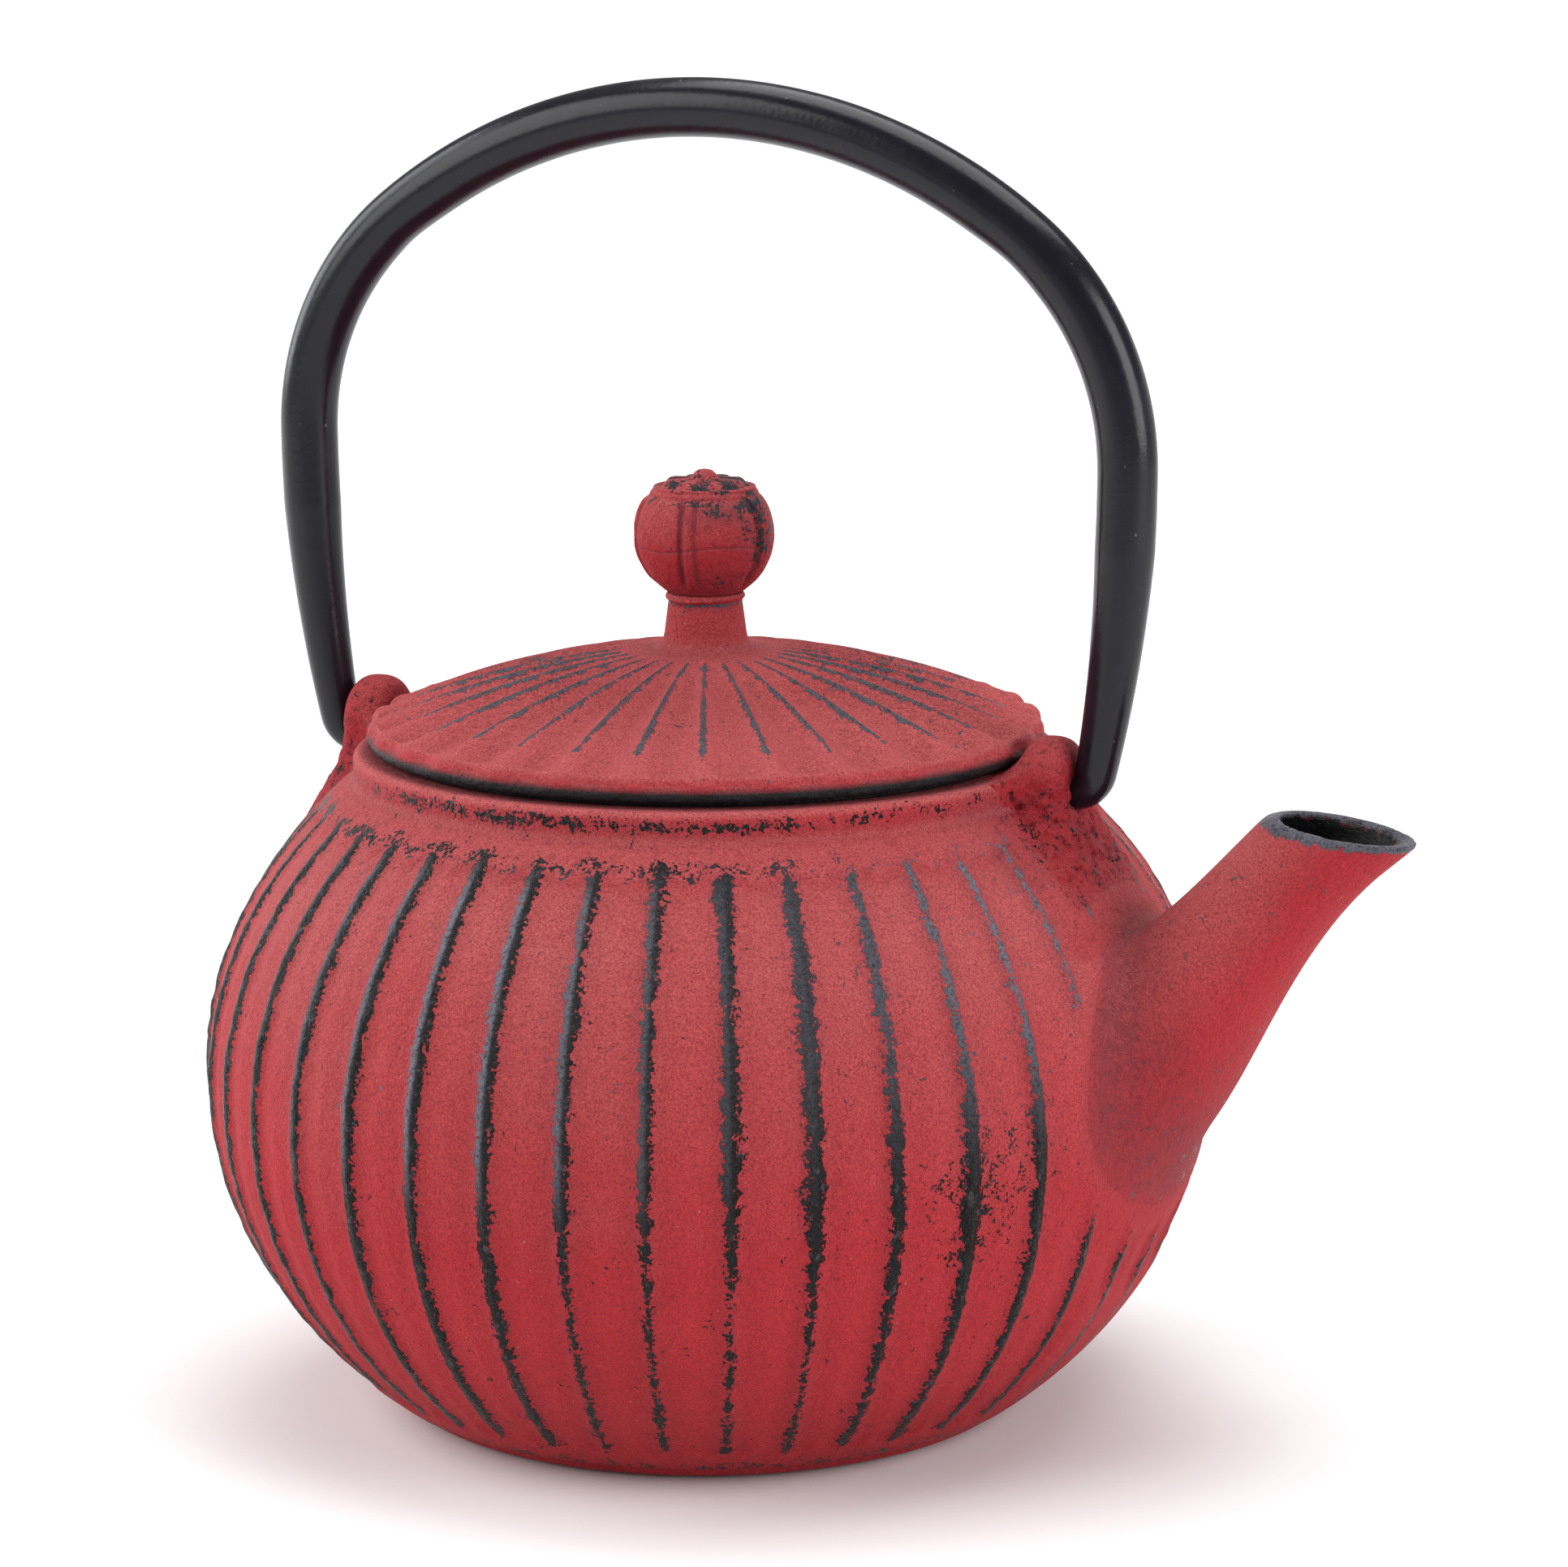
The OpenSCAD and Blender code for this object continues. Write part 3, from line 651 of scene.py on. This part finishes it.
def lid_outline():
    """Outline of the lid from its bore, out below and back over the dome to the neck; its rows below."""
    boss_z, under_z = LID_TOP - LID_T - 0.6, SEAT_Z + 0.8
    skirt_in, skirt_low = SKIRT_R - SKIRT_T, SEAT_Z - SKIRT_DEPTH
    underside = [(BORE_R, boss_z), (7, boss_z), (8, dome_z(8) - LID_T)] + \
        [(r, dome_z(r) - LID_T) for r in np.arange(12, 36, 4.0)]
    skirt = [(skirt_in, dome_z(skirt_in) - LID_T), (skirt_in, skirt_low), (SKIRT_R, skirt_low),
             (SKIRT_R, SEAT_Z), (51, SEAT_Z), (51, under_z), (LID_R - 0.6, under_z), (LID_R, under_z + 1.4)]
    below = rounded(underside + skirt, [0, 0.8, 0.6] + [0] * 6 + [1.2, 0.8, 0.8, 0.6, 0.4, 0.4, 0.8, 0])
    below = spaced(below, 2.5)
    rim_r = LID_R - LID_EDGE_R
    rim = np.array([rim_r, dome_z(rim_r) - LID_EDGE_R + 0.1])
    t = np.radians(np.arange(0, 76, 9))
    edge = rim + LID_EDGE_R * np.stack([np.cos(t), np.sin(t)], 1)
    dome = np.array([(r, dome_z(r)) for r in np.arange(50.4, 8.4, -0.6)])
    neck = rounded([(8.2, dome_z(8.2)), (6.9, dome_z(6.9) + 0.7), (6.5, dome_z(6.5) + 2.0),
                    (5.8, NECK_TOP - 1.3), (6.15, NECK_TOP - 0.75), (6.1, NECK_TOP - 0.1), (BORE_R, NECK_TOP),
                    (BORE_R, boss_z + 1)], [0, 1.2, 1.0, 0.3, 0.4, 0.4, 0.2, 0])
    return np.concatenate([below, edge, dome, spaced(neck, 0.5)]), len(below)


def build_lid():
    outline, rows_below = lid_outline()
    angles = even(LID_RIDGES * 20)
    r, z, theta = polar(outline, angles)
    p = turned(r, z, theta)
    top = (np.arange(len(outline)) >= rows_below)[:, None]

    # folds between the ridges: straight down on the dome, turning inwards at the edge
    across, u = from_ridge(theta, r, LID_RIDGES, LID_RIDGE_TURN)
    u = np.abs(u)
    valley = np.abs(np.sin(math.pi * across)) ** (0.95 + 1.1 * smooth(38, 49, r))
    on_lid = top & (z < LID_TOP + 0.3)
    deep = LID_FOLD * smooth(8.5, 30, r) * (1 - 0.45 * smooth(49.0, 53.2, r)) * on_lid
    sag = valley * deep * (1 + 0.2 * (noise(p, 8) - 0.5))
    tilt = smooth(51.0, 53.3, r)
    # the bead of lacquer round the neck, drooping on one side
    on_neck = r < 6.6
    droop = 0.5 * facing(theta, FRONT_LEFT, 0.8)
    bead = hump(z, NECK_TOP - 0.7 - 0.8 * droop, 0.35) * (r > 5.2) * on_neck
    swell = bead * (0.15 + 0.55 * droop) * (0.6 + 0.8 * noise(p, 2.5))
    points = turned(r - sag * tilt * 0.8 + swell, z - sag * (1 - tilt), theta)

    on_dome = smooth(11, 14, r) * smooth(49.5, 45.5, r)
    behind, bulk = smooth(-0.3, 0.5, np.sin(theta - 0.38)), noise(p, 12)
    line = (1 - u / (0.70 + 0.22 * smooth(15, 35, r))) * on_dome
    line = line * (0.92 + 0.16 * bulk - 0.84 * behind) + 0.18 * (bulk - 0.5) * (line > 0)
    low_edge = 0.85 * smooth(108.6, 106.2, z) * smooth(52.4, 53.2, r)
    seam = 0.55 * hump(z, NECK_TOP - 1.5, 0.3) * on_neck
    wear = np.clip(np.maximum.reduce([line, low_edge, seam, np.full(r.shape, 0.04)]), 0, 1.2) * top
    dirt_line = 0.40 * behind * np.clip(1 - u / 0.6, 0, 1) * on_dome
    # painted shadow along the lower side of the rim, painted shade at the foot of the neck and in a ring just
    # under the knob, with the dirt on the back ridges
    soot = 0.5 * smooth(108.8, 106.2, z) * (r > 50) + dirt_line + 0.12 * smooth(13, 8, r) * (z < 122) \
        + 0.5 * hump(z, NECK_TOP - 1.6, 0.5) * on_neck
    # a painted grey sheen on the lid's bare black iron
    values = {"wear": wear, "soot": np.clip(soot, 0, 1) * top, "inside": ~top, "polish": 0.50, "coarse": 0.12}
    part = points, tube_faces(len(outline), len(angles), closed=True).tolist(), values
    piece("teapot_lid", [part], red_iron("lid_iron", 0.0, 0.05), "lid_set", ["lid"])


def build_knob():
    step_z = KNOB_Z + math.sqrt(KNOB_R ** 2 - KNOB_CAP_R ** 2)
    t = np.linspace(math.asin((NECK_TOP - KNOB_Z) / KNOB_R), math.asin((step_z - KNOB_Z) / KNOB_R), 110)
    ball = np.stack([KNOB_R * np.cos(t), KNOB_Z + KNOB_R * np.sin(t)], 1)
    cap = rounded([tuple(ball[-1]), (8.0, step_z + 0.5), (6.8, step_z + 0.55), (6.4, step_z + 1.1),
                   (5.9, step_z + 1.55), (2.1, step_z + 1.75), (1.8, step_z + 2.3), (1.15, step_z + 2.9),
                   (0.05, step_z + 3.08)], [0, 0.5, 0.5, 0.4, 0.6, 0.5, 0.5, 0.8, 0])
    socket = spaced(np.array([(2.4, NECK_TOP + 5), (2.4, NECK_TOP), (5.2, NECK_TOP)]), 1.2)
    outline = np.concatenate([socket, ball, spaced(cap, 0.22)[1:]])
    angles = even(400)
    r, z, theta = polar(outline, angles)
    p = turned(r, z, theta)
    row = np.arange(len(outline))[:, None]
    on_cap = row >= len(socket) + len(ball)
    on_ball = (row >= len(socket)) & ~on_cap
    height = z - KNOB_Z

    # casting ribs with a groove on each side, the parting line, and petals pressed into the cap
    _, u = from_ridge(theta, r, KNOB_RIBS, KNOB_RIB_TURN)
    span = smooth(-8.6, -6.2, height) * smooth(6.6, 5.2, height)
    ridge = 0.42 * hump(u, 0.20, 0.60)
    groove = 0.50 * hump(u, -0.90, 0.50) + 0.26 * hump(u, 1.25, 0.45)
    parting = 0.10 * hump(height, -1.3 - 0.5 * np.sin(theta * 3 + 1), 0.16)
    hand_cast = 0.28 * (noise(p, 5) - 0.5) + 0.1 * (noise(p, 1.4) - 0.5)
    step = 0.22 * hump(z, step_z - 0.9, 0.3)
    grow = (span * (ridge - groove) - parting - step + hand_cast * smooth(-9, -7, height)) * on_ball
    hollow = 1 - (0.5 + 0.5 * np.cos(theta * CAP_PETALS + 0.6))
    ring = smooth(7.6, 6.6, r) * smooth(1.9, 2.8, r)
    shrink = 0.16 * hollow * ring * smooth(5.2, 6.4, r) * on_cap
    sunk = 0.42 * hollow ** 2 * ring * on_cap
    points = turned(np.minimum(r + grow - shrink, KNOB_R + 0.3), z - sunk, theta)

    upper = 0.54 * facing(theta, KNOB_UPPER, 0.75) * hump(height, 4.6, 2.6)
    side = 0.55 * facing(theta, KNOB_SIDE, 0.5) * smooth(-8, 0, height)
    low = 0.52 * facing(theta, KNOB_LOW, 0.5) * hump(height, -5.6, 2.2)
    band = 0.46 * hump(z, step_z - 1.4, 0.7)
    back = 0.5 * facing(theta, BACK, 1.0) * hump(height, 2, 5)
    blotch = noise(p * np.array([1, 1, 1.8]), 5)
    ball_wear = np.maximum.reduce([upper, side, low, band, back]) + 0.34 * (blotch - 0.5) - 0.11
    wear = np.where(on_cap, 0.30 + 0.42 * hollow * ring, ball_wear * on_ball)
    # painted shade in the grooves and on the underside of the ball, a dark parting line, then smears of dirt
    dark = 0.55 * (groove > 0.12) * span + 0.8 * (parting > 0.05) + 0.4 * smooth(-6.5, -9, height)
    smear = np.maximum.reduce([upper, 0.7 * side, low]) * (0.5 + 0.9 * noise(p * np.array([1, 1, 4.0]), 3))
    soot = np.clip(np.clip(dark, 0, 1) + 1.15 * smear, 0, 1) * on_ball
    faces = tube_faces(len(outline), len(angles)).tolist() + end_faces(len(outline), len(angles))
    # a faint painted grey sheen on the knob's bare black iron
    part = points, faces, {"wear": np.clip(wear, 0, 1.2), "soot": soot, "coarse": 0.25, "polish": 0.15}
    piece("lid_knob", [part], red_iron("knob_iron", 0.35, 0.05), "lid_set", ["knob"])


# ---------------------------------------------------------------- handle
def handle_stations():
    """Centre x and z, outward angle and tube radius along the +X half of the handle, from its crown down; and
    the first station of its shoulder."""
    def along(middle, radius, a, tube, sign=1):
        spot = middle + radius * np.array([math.cos(a), sign * math.sin(a)])
        return *spot, sign * a, tube

    crown = np.array([0, HANDLE_TOP - HANDLE_R - CROWN_R])
    bend = math.radians(90 - CROWN_HALF)
    shoulder = crown + (CROWN_R - SHOULDER_R) * np.array([math.cos(bend), math.sin(bend)])
    leg = shoulder + np.array([SHOULDER_R - LEG_R, 0])
    leg_end = math.asin((leg[1] - HINGE_Z - HOOK_BEND_R) / (LEG_R - HOOK_BEND_R))
    hook = leg + (LEG_R - HOOK_BEND_R) * np.array([math.cos(leg_end), -math.sin(leg_end)])
    out = [along(crown, CROWN_R, a, HANDLE_R) for a in np.linspace(math.pi / 2, bend, 46)[:-1]]
    kink = len(out)
    out += [along(shoulder, SHOULDER_R, a, HANDLE_R) for a in np.linspace(bend, 0, 40)[:-1]]
    for a in np.linspace(0, leg_end, 60)[:-1]:
        narrow = max(0.0, (a - TAPER_START) / (leg_end - TAPER_START))
        out.append(along(leg, LEG_R, a, HANDLE_R - (HANDLE_R - LEG_END_R) * narrow, -1))
    for a in np.linspace(leg_end, math.pi / 2, 14):
        share = (a - leg_end) / (math.pi / 2 - leg_end)
        out.append(along(hook, HOOK_BEND_R, a, LEG_END_R - 0.6 * share, -1))
    hook_end = LUG_X - LUG_T / 2 + 0.3
    out += [(x, HINGE_Z, -math.pi / 2, HOOK_R) for x in np.linspace(hook[0] - 0.6, hook_end + 0.3, 5)]
    out.append((hook_end, HINGE_Z, -math.pi / 2, HOOK_R - 0.3))
    return np.array(out), kink


def build_handle():
    half, kink = handle_stations()
    mirrored = half[1:] * np.array([-1, 1, -1, 1]) + np.array([0, 0, math.pi, 0])
    stations = np.concatenate([half[::-1], mirrored])
    x, z, a, r = (stations[:, k:k + 1] for k in range(4))
    t = even(TUBE_SIDES)
    kink_x, kink_z = half[kink, :2]
    kinks = sum(np.exp(-(np.hypot(x - side * kink_x, z - kink_z) / 5) ** 2) for side in (1, -1))
    r = r * (1 - 0.05 * kinks * (0.5 - 0.5 * np.cos(t)) ** 2)
    points = np.stack([x + r * np.cos(t) * np.cos(a), -r * np.sin(t), z + r * np.cos(t) * np.sin(a)], -1)
    faces = tube_faces(len(stations), TUBE_SIDES).tolist() + end_faces(len(stations), TUBE_SIDES)
    piece("bail_handle", [(points, faces, {})], satin_black(), "bail", ["handle"])


# ---------------------------------------------------------------- steel parts, from the CAD nodes
def dress_steel():
    bright = steel("infuser_steel", (0.50, 0.50, 0.51, 1), (0.72, 0.72, 0.73, 1), 0.30, (1, 1, 14))
    mesh = steel("infuser_mesh", (0.42, 0.42, 0.43, 1), (0.66, 0.66, 0.67, 1), 0.34, (1, 1, 10))
    rivet = steel("rivet_steel", (0.26, 0.26, 0.27, 1), (0.44, 0.44, 0.45, 1), 0.38, (6, 1, 1))
    for node, material, slot in (("infuser_rim", bright, "infuser_steel"),
                                 ("infuser_wall", mesh, "infuser_mesh"),
                                 ("infuser_base", mesh, "infuser_mesh"),
                                 ("knob_rivet", rivet, "rivet_steel"),
                                 ("rivet_washer", rivet, "rivet_steel")):
        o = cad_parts[node]
        o.data.materials.clear()
        o.data.materials.append(material)


# ---------------------------------------------------------------- studio, metres and degrees
FLOOR_R, SWEEP_R, FLOOR_COLUMNS = 2.2, 1.2, 96
CAMERA_PLACE, CAMERA_LENS, SENSOR_WIDTH = (0.33487, -0.72654, 0.2540), 118.39, 36
CAMERA_TURN, CAMERA_TILT, CAMERA_ROLL = math.radians(23.869), math.radians(79.01), math.radians(-0.2045)
LIGHTS_AIM, GLOW_FROM = (0, 0, 0.08), 115
LIGHTS = (  # name, place, width, height, watts, colour
    ("key_left", (-0.75, -0.75, 0.75), 1.0, 1.0, 11.5, (1.0, 0.985, 0.97)),
    ("side_left", (-1.15, 0.05, 0.55), 0.6, 0.9, 6.5, (0.93, 0.95, 1.0)),
    ("fill_right", (1.15, -0.10, 0.55), 0.7, 0.9, 11, (0.97, 0.98, 1.0)),
    ("top", (0.05, 0.25, 1.25), 1.2, 1.0, 14.0, (1, 1, 1)))


def stand(name, data):
    """A new object in the scene."""
    o = bpy.data.objects.new(name, data)
    bpy.context.scene.collection.objects.link(o)
    return o


def build_floor():
    """A pale floor that sweeps up all round, and glows at its far side."""
    m = Paint("studio_floor")
    m.finish({"Base Color": m.mix(m.noise(160, 2.0), FLOOR_GREY, FLOOR_PALE), "Roughness": 0.8,
              "Emission Color": (1, 1, 1, 1), "Emission Strength": m.attribute("glow")})
    sweep = np.radians(np.arange(8, 73, 8))
    rings = [(r, 0) for r in np.linspace(0.02, FLOOR_R, 24)] + \
            [(FLOOR_R + SWEEP_R * math.sin(a), SWEEP_R * (1 - math.cos(a))) for a in sweep]
    r, z, theta = polar(np.array(rings), even(FLOOR_COLUMNS))
    mesh = bpy.data.meshes.new("studio_floor")
    faces = tube_faces(len(rings), FLOOR_COLUMNS)[:, ::-1].tolist() + [list(range(FLOOR_COLUMNS))]
    mesh.from_pydata(turned(r, z, theta).reshape(-1, 3).tolist(), [], faces)
    mesh.shade_smooth()
    glow = 0.66 * smooth(0.35, 1.3, r) * (0.28 + 0.72 * facing(theta, GLOW_FROM, 1.25))
    mesh.attributes.new("glow", "FLOAT", "POINT").data.foreach_set("value", glow.ravel().astype(np.float32))
    mesh.materials.append(m.material)
    stand("studio_floor", mesh)


def build_studio():
    """The floor, soft lights and the photograph's camera."""
    build_floor()
    for name, place, width, height, watts, color in LIGHTS:
        light = bpy.data.lights.new(name, "AREA")
        light.shape, light.size, light.size_y = "RECTANGLE", width, height
        light.energy, light.color = watts, color
        o = stand(name, light)
        o.location = place
        o.rotation_euler = (Vector(LIGHTS_AIM) - Vector(place)).to_track_quat("-Z", "Y").to_euler()

    world = bpy.data.worlds.new("studio")
    world.use_nodes = True
    background = world.node_tree.nodes["Background"]
    background.inputs["Color"].default_value = (0.96, 0.98, 1.0, 1)
    background.inputs["Strength"].default_value = 0.24
    bpy.context.scene.world = world
    bpy.context.scene.view_settings.view_transform = "Standard"

    camera = bpy.data.cameras.new("camera")
    camera.sensor_width, camera.lens = SENSOR_WIDTH, CAMERA_LENS
    camera.clip_start, camera.clip_end = 0.05, 20
    o = stand("camera", camera)
    turn = Matrix.Rotation(CAMERA_TURN, 4, "Z") @ Matrix.Rotation(CAMERA_TILT, 4, "X") \
        @ Matrix.Rotation(CAMERA_ROLL, 4, "Z")
    o.matrix_world = Matrix.Translation(CAMERA_PLACE) @ turn
    bpy.context.scene.camera = o


build_body()
build_lid()
build_knob()
build_handle()
dress_steel()
build_studio()
